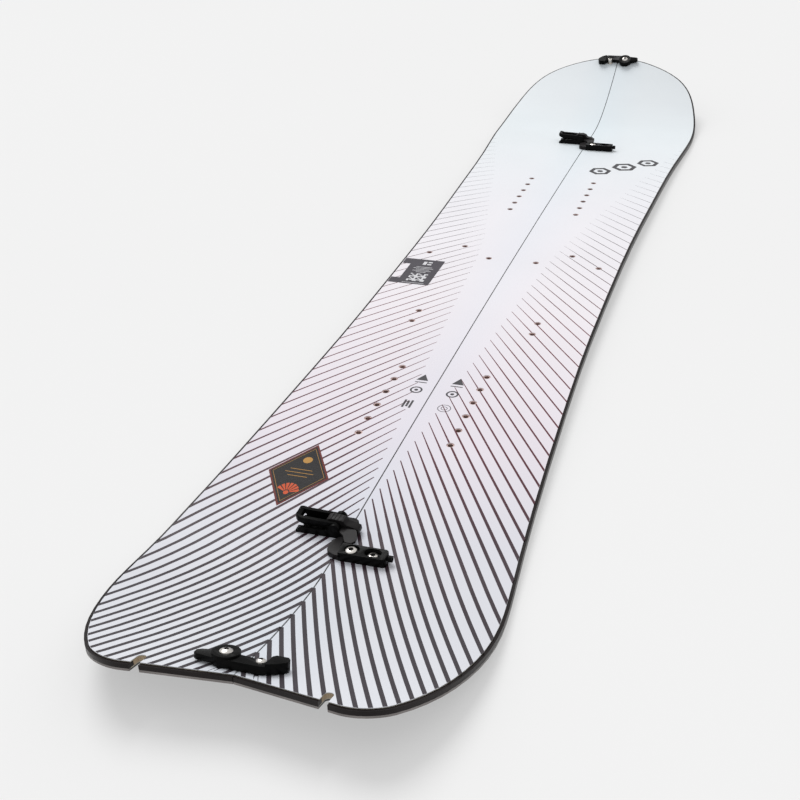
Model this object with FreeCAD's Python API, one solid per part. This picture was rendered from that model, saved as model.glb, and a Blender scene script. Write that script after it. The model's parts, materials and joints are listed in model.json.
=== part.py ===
"""Splitboard: a snowboard sawn lengthwise into two skis that four clips hold together.

Frame: X across the board, with the seam at x = 0; Y along it, towards the nose; Z up.
The origin is the middle of the footprint, on the surface that the board stands on.
All lengths are in millimetres.
"""
import FreeCAD, Part
import math
import os

V = FreeCAD.Vector
UP = V(0, 0, 1)

# ---- board: plan outline -------------------------------------------------------------
HALF_LENGTH = 762.0
SEAM_GAP = 0.6            # saw kerf left between the two skis
TAIL_NOTCH_Y = -751.4     # where the swallow tail meets the seam
TAIL_SWEEP = 8.2          # angle of the tail edge, in degrees
# x, y of the outline of one ski, from just across the seam at the nose, round to the
# start of the tail corner's arc
OUTLINE = [
    (-45.0, 754.5), (0.0, 762.0), (45.0, 754.5), (84.0, 737.0), (112.0, 714.5), (130.5, 684.0),
    (142.5, 642.0), (149.0, 602.0), (151.0, 562.0), (148.8, 500.0), (142.5, 420.0),
    (134.5, 260.0), (128.7, 100.0), (127.0, -60.0), (128.0, -220.0), (133.0, -370.0),
    (140.5, -520.0), (145.2, -585.0), (147.2, -625.0), (145.4, -657.0), (139.2, -688.0),
    (128.6, -718.0), (110.0, -748.4),
]
TAIL_END_Y = -761.0
SKIN_NOTCH_X = 66.0       # slot in the tail edge that takes a climbing skin's hook
SKIN_NOTCH_WIDTH = 6.6
SKIN_NOTCH_DEPTH = 14.0

# ---- board: side profile of the running surface --------------------------------------
NOSE_CONTACT_Y = 558.0
TAIL_CONTACT_Y = -594.0
CAMBER = 7.0
NOSE_KICK = 64.0
TAIL_KICK = 36.5
KICK_POWER = 1.6
PROFILE_STEPS = 40

# ---- board: layers, as heights above the running surface ------------------------------
Z_BASE = 1.3
Z_EDGE = 2.0              # top of the steel edge and of the lower laminate
Z_CORE = 6.0
Z_GLASS = 6.5
Z_TOP = 7.0
EDGE_WIDTH = 2.0
SIDEWALL_WIDTH = 6.0
TOPSHEET_INSET = 2.6      # the sidewall shows round the topsheet
CORE_END_Y = 640.0        # the wood core ends here and the tip spacers begin

# ---- inserts ----------------------------------------------------------------------------
HOLE_PITCH = 25.4
HOLES_PER_ROW = 6
ROW_X = 43.4              # two rows, one on each ski
FRONT_ROW_Y = 238.4       # middle of the front foot's row
REAR_ROW_Y = -337.9
TOURING_HOLES = [(66.1, 37.7), (102.6, 9.6), (28.5, 8.3), (65.8, -148.6), (65.8, -174.0)]
THREAD_R = 2.5            # M6 thread, inner wall
BARREL_R = 4.6
FLANGE_R = 7.0
FLANGE_T = 1.0
TOPSHEET_HOLE_R = 3.7
SHANK_R = 2.45
SCREW_DEPTH = 3.8         # the clips' and hooks' screws reach this far below the deck

# ---- nose and tail hooks ------------------------------------------------------------------
HOOK_X = 12.5             # pivot and stud stand this far from the seam, one on each ski
NOSE_HOOK_Y = 750.0
TAIL_HOOK_Y = -736.0
SEAT_CLEAR = 0.03         # the deck curves up this much under a round flange
HOOK_LIFT = 0.8           # washer under the hook
BOSS_T = 7.6
ARM_T = 6.0
BOSS_R = 9.8
PIVOT_R = 3.2
PIVOT_HEAD_R = 4.6
PIVOT_HEAD_H = (0.5, 1.8)  # of the straight part and of the dome
PIVOT_SOCKET = (2.0, 1.0)  # radius, height of the bottom above the head's seat
HEAD_RECESS = 0.4
HEAD_GAP = 0.1            # under the head and under the hook, so that the hook turns
STUD_R = 3.6
STUD_FLANGE = (5.6, 0.6)  # radius and height
STUD_H = (6.1, 1.8)       # of the straight part and of the dome
STUD_SOCKET = (1.6, 6.7)  # radius and height of the bottom
MOUTH_R = 4.3
MOUTH_SWEEP = 60.0        # the stud's path is cut out this far from the pivot
HOOK_EDGE_R = 0.6
# x, y of the arm with its tip, from the boss round to the inside of the mouth
ARM = [
    (2.0, 9.6), (-28.5, 9.0), (-38.0, 4.6), (-43.5, -1.0), (-43.5, -5.0), (-41.5, -7.2),
    (-33.0, -7.2), (-30.5, -4.0), (-28.0, 0.0), (-8.0, -2.0),
]
TIP_X = -31.0             # the tip is raised beyond this
FINGER_TAB = [(5.0, -4.0), (17.5, -0.6), (20.5, 1.6), (20.5, 5.6), (18.5, 7.4), (5.0, 8.4)]
FINGER_TAB_Z = (1.4, 2.0)  # how far it lies inside the boss's lower and upper faces
RUN_FIT = 0.05

# ---- mid clips -----------------------------------------------------------------------------
FRONT_CLIP_Y = 474.0
REAR_CLIP_Y = -555.5
DECK_GAP = 0.35           # between a shear tab and the ski that it laps over
BASE_X = (-41.0, -0.6)    # lever base, on the left ski
BASE_Y = (1.0, 21.0)
CHEEK_T = 2.4
FLOOR_T = 2.5
RAIL_H = 6.0
HINGE = (-8.0, 8.0)       # x and height of the lever's hinge
HINGE_R = 2.0
CHEEK_R = 4.6
TAB_GAP = 0.2             # from the cheeks' bosses to the lever tab
YOKE = (1.4, 1.3)         # length of the tab's yoke and thickness of its foot
ARM_W = 3.0
ARM_GAP = 0.3
ARM_Z = (7.2, 12.4)
LEVER_END = -42.6
LEVER_CORNER_R = 5.0
LEVER_BOSS_R = 4.2        # about the hinge
LOOP_T = 4.6
LINK_PIN = (-13.5, 8.0)
LINK_PIN_R = 1.6
BASE_SCREWS_X = (-22.0, -33.5)
LEVER_SCREW_Y = 11.0
ROD = (5.5, 3.1)          # x and height of the steel rod that the link hooks
ROD_R = 2.0
LIP_GAP = 0.35
LEVER_TAB_Z = (5.6, 7.6)
# x, y of the lever tab's two prongs, either side of the link; the near one ends in a lobe
NEAR_PRONG = [
    (-3.2, 1.0), (1.0, -2.5), (5.4, -10.6), (10.8, -10.6), (13.2, -7.2), (12.4, -1.0), (10.2, 4.4),
    (8.6, 6.1),
]
FAR_PRONG = [(8.0, 15.9), (7.0, 18.2), (4.0, 20.5), (-3.2, 20.5)]
CATCH_X = (5.0, 43.5)     # catch, on the right ski
CATCH_Y = (-24.9, -12.3)
CATCH_H = 8.4
CATCH_SCREW_X = (13.8, 31.6)
CATCH_SCREW_Y = -18.4
CATCH_TRAVEL = 1.6
CATCH_CORNER_R = 3.0
CATCH_TAB = [
    (-6.3, -7.4), (-1.0, -1.7), (5.0, -1.7), (5.0, -24.4), (1.6, -24.4), (-4.6, -21.4),
    (-6.3, -18.6),
]
CATCH_TAB_Z = 5.2
EAR_TOP = 5.4             # top of the lug that carries the rod, below the washer
FIRST_SEAT = 5.6          # counterbore under the washer of the catch's first screw
SECOND_SEAT = 4.0
WASHER_T = 0.8
ADJUSTER_Z = 5.2
ADJUSTER_HEAD = (2.6, 0.8, 3.3)  # radius, gap to the catch and length
ADJUSTER_SOCKET = (1.4, 2.0)  # radius and depth
TONGUE = (20.0, 3.0, 8.0)  # far end, height and width of the tab's tongue
HEAD_R = 4.4
HEAD_H = 2.4
SECOND_HEAD_H = 2.6
SOCKET = (2.3, 1.7)       # radius and depth, for a 4 mm key
HOLE_CLEAR = 0.2          # round a screw's shank
WASHER_R = 5.2
ADJUSTER_R = 2.0

os.makedirs("parts", exist_ok=True)


# ---- side profile ------------------------------------------------------------------------
def running_height(y):
    """Height of the running surface: camber between the contacts, a kick beyond them."""
    if y > NOSE_CONTACT_Y:
        reach = (y - NOSE_CONTACT_Y) / (HALF_LENGTH - NOSE_CONTACT_Y)
        return NOSE_KICK * reach ** KICK_POWER
    if y < TAIL_CONTACT_Y:
        reach = (TAIL_CONTACT_Y - y) / (HALF_LENGTH + TAIL_CONTACT_Y)
        return TAIL_KICK * reach ** KICK_POWER
    middle = (NOSE_CONTACT_Y + TAIL_CONTACT_Y) / 2
    half = (NOSE_CONTACT_Y - TAIL_CONTACT_Y) / 2
    return CAMBER * (1 - ((y - middle) / half) ** 2)


def profile_points():
    """Points of the profile, closer together in the kicks than under the feet."""
    ys = []
    for i in range(PROFILE_STEPS + 1):
        t = 2.0 * i / PROFILE_STEPS - 1.0
        ys.append((HALF_LENGTH + 12.0) * math.sin(t * math.pi / 2))
    return [V(0, y, running_height(min(HALF_LENGTH, max(-HALF_LENGTH, y)))) for y in ys]


def profile_curve():
    curve = Part.BSplineCurve()
    curve.interpolate(profile_points())
    return curve


PROFILE = profile_curve()
Z_SHIFT = -PROFILE.toShape().BoundBox.ZMin   # the lowest line of the base stands at z = 0


def deck_height(y, above=Z_TOP):
    """Height of the surface that lies the given distance above the running surface."""
    line = Part.LineSegment(V(0, y, -50), V(0, y, 150))
    point = PROFILE.intersectCC(line)[0]
    return point.Z + Z_SHIFT + above


def deck_angle(y):
    """Slope of the deck at y, in degrees."""
    rise = deck_height(y + 1.0) - deck_height(y - 1.0)
    return math.degrees(math.atan2(rise, 2.0))


def band(low, high, x_start, x_end=200.0):
    """The space between two heights above the running surface, over the whole length."""
    lower = PROFILE.toShape()
    upper = PROFILE.toShape()
    lower.translate(V(x_start, 0, low + Z_SHIFT))
    upper.translate(V(x_start, 0, high + Z_SHIFT))
    ends = []
    for a, b in ((lower.firstVertex(), upper.firstVertex()), (lower.lastVertex(), upper.lastVertex())):
        ends.append(Part.LineSegment(a.Point, b.Point).toShape())
    face = Part.Face(Part.Wire(Part.__sortEdges__([lower, ends[1], upper, ends[0]])))
    return face.extrude(V(x_end - x_start, 0, 0))


# ---- plan outline -------------------------------------------------------------------------
def along_tail():
    """Direction of the tail edge, from the corner to the seam."""
    sweep = math.radians(TAIL_SWEEP)
    return V(-math.cos(sweep), math.sin(sweep), 0)


def spline_through(points):
    curve = Part.BSplineCurve()
    curve.interpolate(points)
    return curve


def inset_points(curve, inset, steps=66):
    """Points of the curve moved inwards along its normals."""
    points = []
    for i in range(steps + 1):
        u = curve.FirstParameter + (curve.LastParameter - curve.FirstParameter) * i / steps
        tangent = curve.tangent(u)[0]
        points.append(curve.value(u) + V(tangent.y, -tangent.x, 0) * inset)
    return points


def corner_arc(curve, inset):
    """Arc from the end of the outline onto the tail edge, moved inwards by the inset."""
    start = curve.value(curve.LastParameter)
    tangent = curve.tangent(curve.LastParameter)[0]
    tail = along_tail()
    across = V(-tail.y, tail.x, 0)
    reach = (V(0, TAIL_NOTCH_Y, 0) - start).dot(across) / tangent.dot(across)
    radius = reach / math.tan(tangent.getAngle(tail) / 2)
    centre = start + V(tangent.y, -tangent.x, 0) * radius
    outward = [start, start + tangent * reach, start + (tangent + tail) * reach]
    return [centre + (point - centre).normalize() * (radius - inset) for point in outward]


def plan_prism(inset):
    """Upright prism over the plan of the right ski, running past the seam."""
    base = spline_through([V(x, y, 0) for x, y in OUTLINE])
    side = spline_through(inset_points(base, inset)) if inset else base
    corner = corner_arc(base, inset)
    start = side.value(side.FirstParameter)
    end = corner[-1]
    past = -start.x
    tail = end + along_tail() * ((end.x + past) / -along_tail().x)
    edges = [
        side.toShape(),
        Part.Arc(side.value(side.LastParameter), corner[1], end).toShape(),
        Part.LineSegment(end, tail).toShape(),
        Part.LineSegment(tail, start).toShape(),
    ]
    face = Part.Face(Part.Wire(edges))
    face.translate(V(0, 0, -20))
    return face.extrude(V(0, 0, 160))


PRISMS = {inset: plan_prism(inset) for inset in (0, EDGE_WIDTH, SIDEWALL_WIDTH, TOPSHEET_INSET)}


def layer(inset, low, high, seam_inset=None):
    """One layer of the right ski between two heights, set in from the outline and the seam."""
    at_seam = inset if seam_inset is None else seam_inset
    return PRISMS[inset].common(band(low, high, SEAM_GAP / 2 + at_seam))


def cylinder(radius, height, x, y, z):
    return Part.makeCylinder(radius, height, V(x, y, z))


def box(x, y, z):
    """Box between the two values given for each of x, y and z."""
    return Part.makeBox(x[1] - x[0], y[1] - y[0], z[1] - z[0], V(x[0], y[0], z[0]))


def fuse(shapes):
    result = shapes[0]
    for shape in shapes[1:]:
        result = result.fuse(shape)
    return result.removeSplitter()


def skin_notch():
    """The slot that every layer has in the tail edge."""
    width = SKIN_NOTCH_WIDTH
    inner = TAIL_END_Y + SKIN_NOTCH_DEPTH
    slot = box((SKIN_NOTCH_X - width / 2, SKIN_NOTCH_X + width / 2), (-800, inner - width / 2), (-20, 140))
    return slot.fuse(cylinder(width / 2, 160, SKIN_NOTCH_X, inner - width / 2, -20))


def mirrored(shape):
    return shape.mirror(V(0, 0, 0), V(1, 0, 0))


# ---- inserts and the holes they stand in ------------------------------------------------
def stance_places():
    places = []
    for row_y in (FRONT_ROW_Y, REAR_ROW_Y):
        for i in range(HOLES_PER_ROW):
            places.append((ROW_X, row_y + (i - (HOLES_PER_ROW - 1) / 2) * HOLE_PITCH, None))
    return places


def touring_places():
    return [(x, y, None) for x, y in TOURING_HOLES]


def clip_places(side):
    """Where the clips are screwed to one ski: x, y and the y whose deck each is square to."""
    xs = [-x for x in BASE_SCREWS_X] if side == "left" else list(CATCH_SCREW_X)
    y_off = LEVER_SCREW_Y if side == "left" else CATCH_SCREW_Y
    places = []
    for clip_y in (FRONT_CLIP_Y, REAR_CLIP_Y):
        places += [(x, clip_y + y_off, clip_y) for x in xs]
    places += [(HOOK_X, hook_y, hook_y) for hook_y in (NOSE_HOOK_Y, TAIL_HOOK_Y)]
    return places


def column(place, radius, low=-12.0, high=12.0):
    """Round column through the board at a place, from below to above the deck."""
    x, y, seat_y = place
    if seat_y is None:
        return cylinder(radius, high - low, x, y, deck_height(y) + low)
    return seat_on_deck(cylinder(radius, high - low, 0, y - seat_y, low), x, seat_y, False)


def insert(place):
    """Flanged steel insert with a threaded bore."""
    flange = column(place, FLANGE_R).common(band(Z_EDGE, Z_EDGE + FLANGE_T, 0))
    barrel = column(place, BARREL_R).common(band(Z_EDGE + FLANGE_T, Z_GLASS, 0))
    return flange.fuse(barrel).removeSplitter().cut(column(place, THREAD_R))


def insert_pockets(places):
    """Pockets for the inserts in the core and the upper laminate."""
    shapes = []
    for place in places:
        shapes.append(column(place, FLANGE_R).common(band(Z_EDGE, Z_EDGE + FLANGE_T, 0)))
        shapes.append(column(place, BARREL_R).common(band(Z_EDGE + FLANGE_T, Z_TOP + 3, 0)))
    return Part.Compound(shapes)


def topsheet_holes(places):
    return Part.Compound([column(place, TOPSHEET_HOLE_R) for place in places])


# ---- the layers of one ski -----------------------------------------------------------------
POCKETED = ("wood_core", "nose_spacer", "tail_spacer", "upper_laminate", "outer_sidewall", "seam_sidewall")


def long_box(x, y):
    return box(x, y, (-30, 160))


def ski_layers():
    """Layers of the right ski, without the insert holes."""
    wall_in = SEAM_GAP / 2 + SIDEWALL_WIDTH
    ring = layer(0, Z_EDGE, Z_CORE).cut(layer(SIDEWALL_WIDTH, Z_EDGE - 1, Z_CORE + 1))
    inner = layer(SIDEWALL_WIDTH, Z_EDGE, Z_CORE)
    by_the_seam = long_box((-5, wall_in), (-900, 900))
    notch = skin_notch()
    layers = {
        "base_sheet": layer(EDGE_WIDTH, 0, Z_BASE),
        "steel_edge": layer(0, 0, Z_EDGE).cut(layer(EDGE_WIDTH, -1, Z_EDGE + 1)),
        "lower_laminate": layer(EDGE_WIDTH, Z_BASE, Z_EDGE),
        "wood_core": inner.common(long_box((-5, 200), (-CORE_END_Y, CORE_END_Y))),
        "nose_spacer": inner.common(long_box((-5, 200), (CORE_END_Y, 900))),
        "tail_spacer": inner.common(long_box((-5, 200), (-900, -CORE_END_Y))),
        "outer_sidewall": ring.cut(by_the_seam),
        "seam_sidewall": ring.common(by_the_seam),
        "upper_laminate": layer(TOPSHEET_INSET, Z_CORE, Z_GLASS, 0),
        "topsheet": layer(TOPSHEET_INSET, Z_GLASS, Z_TOP, 0),
    }
    return {name: shape.cut(notch) for name, shape in layers.items()}


def build_ski(side):
    """Writes the layers and inserts of one ski."""
    stance = stance_places()
    touring = touring_places()
    clips = clip_places(side)
    every = stance + touring + clips
    pockets = insert_pockets(every)
    holes = topsheet_holes(every)
    nodes = {}
    for name, shape in LAYERS.items():
        if name in POCKETED:
            shape = shape.cut(pockets)
        if name == "topsheet":
            shape = shape.cut(holes)
        nodes[name] = shape
    nodes["stance_inserts"] = Part.Compound([insert(place) for place in stance])
    nodes["touring_inserts"] = Part.Compound([insert(place) for place in touring])
    nodes["clip_inserts"] = Part.Compound([insert(place) for place in clips])
    for name, shape in nodes.items():
        write(side + "_" + name, mirrored(shape) if side == "left" else shape)


# ---- screws ------------------------------------------------------------------------------
def dome(radius, rise, x, y, z):
    """Low domed cap over a circle."""
    ball_r = (radius ** 2 + rise ** 2) / (2 * rise)
    ball = Part.makeSphere(ball_r, V(x, y, z + rise - ball_r))
    return ball.common(cylinder(radius, rise + 1, x, y, z))


def pan_screw(x, y, seat, head_h):
    """Screw with a domed socket head: seat is the height under the head."""
    half = head_h / 2
    head = cylinder(HEAD_R, half, x, y, seat).fuse(dome(HEAD_R, half, x, y, seat + half))
    shank = cylinder(SHANK_R, seat + SCREW_DEPTH, x, y, -SCREW_DEPTH)
    radius, depth = SOCKET
    socket = hexagon(radius, depth + 1, x, y, seat + head_h - depth)
    return head.fuse(shank).removeSplitter().cut(socket)


def hexagon(radius, height, x, y, z):
    points = []
    for i in range(7):
        angle = math.radians(60 * i)
        points.append(V(x + radius * math.cos(angle), y + radius * math.sin(angle), z))
    return Part.Face(Part.makePolygon(points)).extrude(V(0, 0, height))


# ---- nose and tail hooks ----------------------------------------------------------------------
def prism(points, low, high):
    corners = [V(x, y, low) for x, y in points]
    return Part.Face(Part.makePolygon(corners + corners[:1])).extrude(V(0, 0, high - low))


def hook_blank():
    """Boss, arm, raised tip and finger tab; the pivot is at the origin, the stud towards -X."""
    low = HOOK_LIFT
    high = HOOK_LIFT + BOSS_T
    boss = cylinder(BOSS_R, BOSS_T, 0, 0, low)
    arm = prism(ARM, low, low + ARM_T)
    tip = prism(ARM, low, high).common(box((-60, TIP_X), (-20, 20), (0, 20)))
    tab = prism(FINGER_TAB, low + FINGER_TAB_Z[0], high - FINGER_TAB_Z[1])
    return fuse([boss, arm, tip, tab])


def mouth():
    """What the stud sweeps as the hook turns off it."""
    reach = 2 * HOOK_X
    low = HOOK_LIFT - 1
    height = BOSS_T + 2
    outer = cylinder(reach + MOUTH_R, height, 0, 0, low)
    ring = outer.cut(cylinder(reach - MOUTH_R, height, 0, 0, low))
    quarter = box((-MOUTH_SWEEP, 0), (-MOUTH_SWEEP, 0), (low, low + height))
    return ring.common(quarter).fuse(cylinder(MOUTH_R, height, -reach, 0, low))


def head_seat():
    """Height of the face that the pivot screw's head lies in."""
    return HOOK_LIFT + BOSS_T - HEAD_RECESS


def hook():
    shape = hook_blank().cut(mouth())
    shape = shape.cut(cylinder(PIVOT_R + RUN_FIT, 20, 0, 0, -5))
    shape = shape.cut(cylinder(PIVOT_HEAD_R + HOLE_CLEAR, 5, 0, 0, head_seat()))
    return soften(shape, HOOK_EDGE_R, HOOK_LIFT + BOSS_T)


def soften(shape, size, top):
    """Rounds the edges of the top face, or leaves them sharp where that fails."""
    edges = [e for e in shape.Edges if e.BoundBox.ZMin > top - 0.001 and e.Length > 3 * size]
    try:
        rounded = shape.makeFillet(size, edges)
    except Part.OCCError:
        return shape
    return rounded if rounded.isValid() and rounded.Volume < shape.Volume else shape


def pivot_screw():
    """Shouldered screw that the hook turns on."""
    seat = head_seat() + HEAD_GAP
    straight, domed = PIVOT_HEAD_H
    shoulder = cylinder(PIVOT_R, seat - SEAT_CLEAR, 0, 0, SEAT_CLEAR)
    shank = cylinder(SHANK_R, SCREW_DEPTH + 1, 0, 0, -SCREW_DEPTH)
    head = cylinder(PIVOT_HEAD_R, straight, 0, 0, seat)
    head = head.fuse(dome(PIVOT_HEAD_R, domed, 0, 0, seat + straight))
    socket = hexagon(PIVOT_SOCKET[0], domed, 0, 0, seat + PIVOT_SOCKET[1])
    return fuse([shoulder, shank, head]).cut(socket)


def pivot_washer():
    disc = cylinder(BOSS_R - 1.5, HOOK_LIFT - HEAD_GAP, 0, 0, 0)
    return disc.cut(cylinder(PIVOT_R, HOOK_LIFT + 2, 0, 0, -1))


def stud():
    """Domed stud that the hook closes round."""
    flange_r, flange_h = STUD_FLANGE
    straight, domed = STUD_H
    flange = cylinder(flange_r, flange_h - SEAT_CLEAR, 0, 0, SEAT_CLEAR)
    post = cylinder(STUD_R, straight - SEAT_CLEAR, 0, 0, SEAT_CLEAR)
    post = post.fuse(dome(STUD_R, domed, 0, 0, straight))
    shank = cylinder(SHANK_R, SCREW_DEPTH + 1, 0, 0, -SCREW_DEPTH)
    return fuse([flange, post, shank]).cut(hexagon(STUD_SOCKET[0], domed, 0, 0, STUD_SOCKET[1]))


def seat_on_deck(shape, x, y, turned):
    """Places a part on the deck, square to it; turned swings it half a turn first."""
    shape = shape.copy()
    if turned:
        shape.rotate(V(0, 0, 0), UP, 180)
    shape.rotate(V(0, 0, 0), V(1, 0, 0), deck_angle(y))
    shape.translate(V(x, y, deck_height(y)))
    return shape


def build_hook(name, y, turned):
    side = -1.0 if turned else 1.0
    deck = band(Z_TOP - 8, Z_TOP, -150)
    washer = seat_on_deck(pivot_washer(), side * HOOK_X, y, turned).cut(deck)
    post = seat_on_deck(stud(), -side * HOOK_X, y, turned)
    screw = seat_on_deck(pivot_screw(), side * HOOK_X, y, turned)
    write(name + "_hook", seat_on_deck(hook(), side * HOOK_X, y, turned))
    write(name + "_pivot_screw", screw)
    write(name + "_pivot_washer", washer)
    write(name + "_stud", post)


# ---- mid clips -----------------------------------------------------------------------------------
def along_y(radius, y, x, z):
    """Cylinder along Y between two values of y, about the line at x, z."""
    return Part.makeCylinder(radius, y[1] - y[0], V(x, y[0], z), V(0, 1, 0))


def side_plate(points, y):
    """Plate of the given outline in X and Z, between two values of y."""
    corners = [V(x, y[0], z) for x, z in points]
    return Part.Face(Part.makePolygon(corners + corners[:1])).extrude(V(0, y[1] - y[0], 0))


def cheek_spans():
    return [(BASE_Y[0], BASE_Y[0] + CHEEK_T), (BASE_Y[1] - CHEEK_T, BASE_Y[1])]


def arm_spans():
    first = BASE_Y[0] + CHEEK_T + ARM_GAP
    last = BASE_Y[1] - CHEEK_T - ARM_GAP
    return [(first, first + ARM_W), (last - ARM_W, last)]


def link_span():
    inner = arm_spans()
    return (inner[0][1] + ARM_GAP, inner[1][0] - ARM_GAP)


def tab_start():
    """The lever tab begins just clear of the hinge's round bosses."""
    return HINGE[0] + CHEEK_R + TAB_GAP


def cheek(span):
    """Side wall: a low rail, a round boss about the hinge and a seat for the tab."""
    x0, x1 = BASE_X
    hx, hz = HINGE
    seat = LEVER_TAB_Z[0]
    corners = [
        (hx + CHEEK_R, hz), (hx + CHEEK_R, seat), (x1, seat), (x1, 0), (x0 + 2, 0),
        (x0 + 2, RAIL_H - 2), (x0 + 4, RAIL_H), (hx - CHEEK_R - 3, RAIL_H), (hx - CHEEK_R, hz),
    ]
    points = [V(x, span[0], z) for x, z in corners]
    top = Part.Arc(points[-1], V(hx, span[0], hz + CHEEK_R), points[0]).toShape()
    face = Part.Face(Part.Wire([Part.makePolygon(points), top]))
    return face.extrude(V(0, span[1] - span[0], 0))


def lever_base():
    """Tray with two cheeks that carry the lever's hinge."""
    x0 = BASE_X[0]
    hx, hz = HINGE
    shape = fuse([box(BASE_X, BASE_Y, (0, FLOOR_T))] + [cheek(span) for span in cheek_spans()])
    shape = shape.cut(box((x0 - 1, x0 + 4), (BASE_Y[0] + 6.5, BASE_Y[1] - 6.5), (-1, 9)))
    for x in BASE_SCREWS_X:
        shape = shape.cut(cylinder(SHANK_R + HOLE_CLEAR, FLOOR_T + 2, x, LEVER_SCREW_Y, -1))
    return shape.cut(along_y(HINGE_R, (BASE_Y[0] - 1, BASE_Y[1] + 1), hx, hz))


def lever_tab():
    """Forked tab on the base: it laps over the right ski above the catch rod."""
    low, high = LEVER_TAB_Z
    x0 = tab_start()
    span = link_span()
    link_room = (span[0] - ARM_GAP, span[1] + ARM_GAP)
    near = prism([(x0, link_room[0])] + NEAR_PRONG, low, high)
    far = prism([(x0, link_room[1])] + FAR_PRONG, low, high)
    length, foot_t = YOKE
    yoke = box((x0, x0 + length), (span[0] - 2, span[1] + 2), (FLOOR_T, low + 1))
    yoke = yoke.cut(box((x0 - 1, x0 + length + 1), link_room, (FLOOR_T + foot_t, high + 1)))
    return fuse([near, far, yoke])


def lever_plan():
    """Upright prism over the lever, with round corners at its outer end."""
    r = LEVER_CORNER_R
    y = (arm_spans()[0][0], arm_spans()[1][1])
    parts = [box((LEVER_END + r, 20), y, (-5, 30))]
    parts.append(box((LEVER_END, 20), (y[0] + r, y[1] - r), (-5, 30)))
    parts += [cylinder(r, 35, LEVER_END + r, centre_y, -5) for centre_y in (y[0] + r, y[1] - r)]
    return fuse(parts)


def lever_arm():
    """Outline of one arm in X and Z."""
    hx, hz = HINGE
    low, high = ARM_Z
    end = LEVER_END
    return [
        (hx, hz - LEVER_BOSS_R), (hx + 3.4, hz + 2.4), (hx, high), (end + 6, high + 0.8),
        (end + 1, high + 2.4), (end + 1, low + 2.6), (end + 8, low), (hx - 9, low - 0.6),
    ]


def crossbar():
    """Outline of the crossbar in X and Z."""
    low, high = ARM_Z
    end = LEVER_END
    return [
        (end, high - 1), (end + 1, high + 2.4), (end + LOOP_T, high + 1.0),
        (end + LOOP_T, low + 1.6), (end + 1, low + 2.6),
    ]


def lever():
    """Finger loop: two arms from the hinge to a crossbar at the outer end."""
    parts = []
    for span in arm_spans():
        parts.append(side_plate(lever_arm(), span))
        parts.append(along_y(LEVER_BOSS_R, span, *HINGE))
    ends = (arm_spans()[0][0], arm_spans()[1][1])
    parts.append(side_plate(crossbar(), ends))
    shape = fuse(parts).common(lever_plan())
    shape = shape.cut(along_y(HINGE_R + RUN_FIT, (BASE_Y[0] - 1, BASE_Y[1] + 1), *HINGE))
    return shape.cut(along_y(LINK_PIN_R, (BASE_Y[0] - 1, BASE_Y[1] + 1), *LINK_PIN))


def hinge_pins():
    """One short pin on each side, so that nothing crosses the link's path."""
    spans = [(cheek_spans()[0][0], arm_spans()[0][1]), (arm_spans()[1][0], cheek_spans()[1][1])]
    return Part.Compound([along_y(HINGE_R, span, *HINGE) for span in spans])


def link_pin():
    return along_y(LINK_PIN_R, (arm_spans()[0][0], arm_spans()[1][1]), *LINK_PIN)


def draw_link():
    """Plate drawn by the lever; its lip closes behind the catch rod."""
    px, pz = LINK_PIN
    rx, rz = ROD
    lip = rx + ROD_R + LIP_GAP
    outline = [
        (px - 2.6, pz - 2.0), (px + 1, pz - 3.0), (-2.5, 5.2), (rx - 3.0, rz + 2.8), (rx, rz + 2.6),
        (lip, rz + 1.6), (lip, rz - 1.2), (lip + 0.8, rz - 1.9), (lip + 2.0, rz - 1.9), (lip + 2.8, rz),
        (lip + 2.6, rz + 3.6), (lip - 0.6, rz + 5.0), (0.5, 9.8), (-2.0, 13.2), (px + 1, 14.2),
        (px - 2.6, 12.6),
    ]
    return side_plate(outline, link_span()).cut(along_y(LINK_PIN_R + RUN_FIT, (0, 30), px, pz))


def base_screws():
    return Part.Compound([pan_screw(x, LEVER_SCREW_Y, FLOOR_T, HEAD_H) for x in BASE_SCREWS_X])


def catch_body():
    """Block that slides on two screws and holds the catch rod."""
    sx0, sx1 = CATCH_SCREW_X
    sy = CATCH_SCREW_Y
    low_r = SHANK_R + HOLE_CLEAR
    above = CATCH_H + 1
    first = (sx0, sx0 + CATCH_TRAVEL)
    second = (sx1 - 2, sx1 + CATCH_TRAVEL + 1)
    shape = fillet_upright(box(CATCH_X, CATCH_Y, (0, CATCH_H)), CATCH_CORNER_R)
    shape = shape.cut(slot_hole(*first, sy, low_r, -1, above))
    shape = shape.cut(slot_hole(*first, sy, WASHER_R + HOLE_CLEAR, FIRST_SEAT, above))
    shape = shape.cut(slot_hole(*second, sy, low_r, -1, above))
    shape = shape.cut(slot_hole(*second, sy, HEAD_R + HOLE_CLEAR, SECOND_SEAT, above))
    shape = shape.cut(along_x(ADJUSTER_R + RUN_FIT, (sx1 + 2, CATCH_X[1] + 1)))
    shape = shape.cut(tongue(-1))
    shape = shape.cut(along_y(ROD_R, (rod_start(), 20), *ROD))
    return shape.fuse(rod_ear()).removeSplitter()


def rod_ear():
    """Lug on the catch that carries the rod."""
    rx = ROD[0]
    outline = [(rx - 2.8, 0.4), (rx + 8, 0.4), (rx + 8, EAR_TOP), (rx - 2.8, EAR_TOP)]
    ear = side_plate(outline, (rod_start(), CATCH_Y[1] + 1.0))
    return ear.cut(along_y(ROD_R, (-40, 20), *ROD))


def tongue(low):
    """The tab's tongue, which lies under the catch."""
    end, height, width = TONGUE
    y = (CATCH_SCREW_Y - width / 2, CATCH_SCREW_Y + width / 2)
    return box((CATCH_X[0] - 1, end), y, (low, height))


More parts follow.
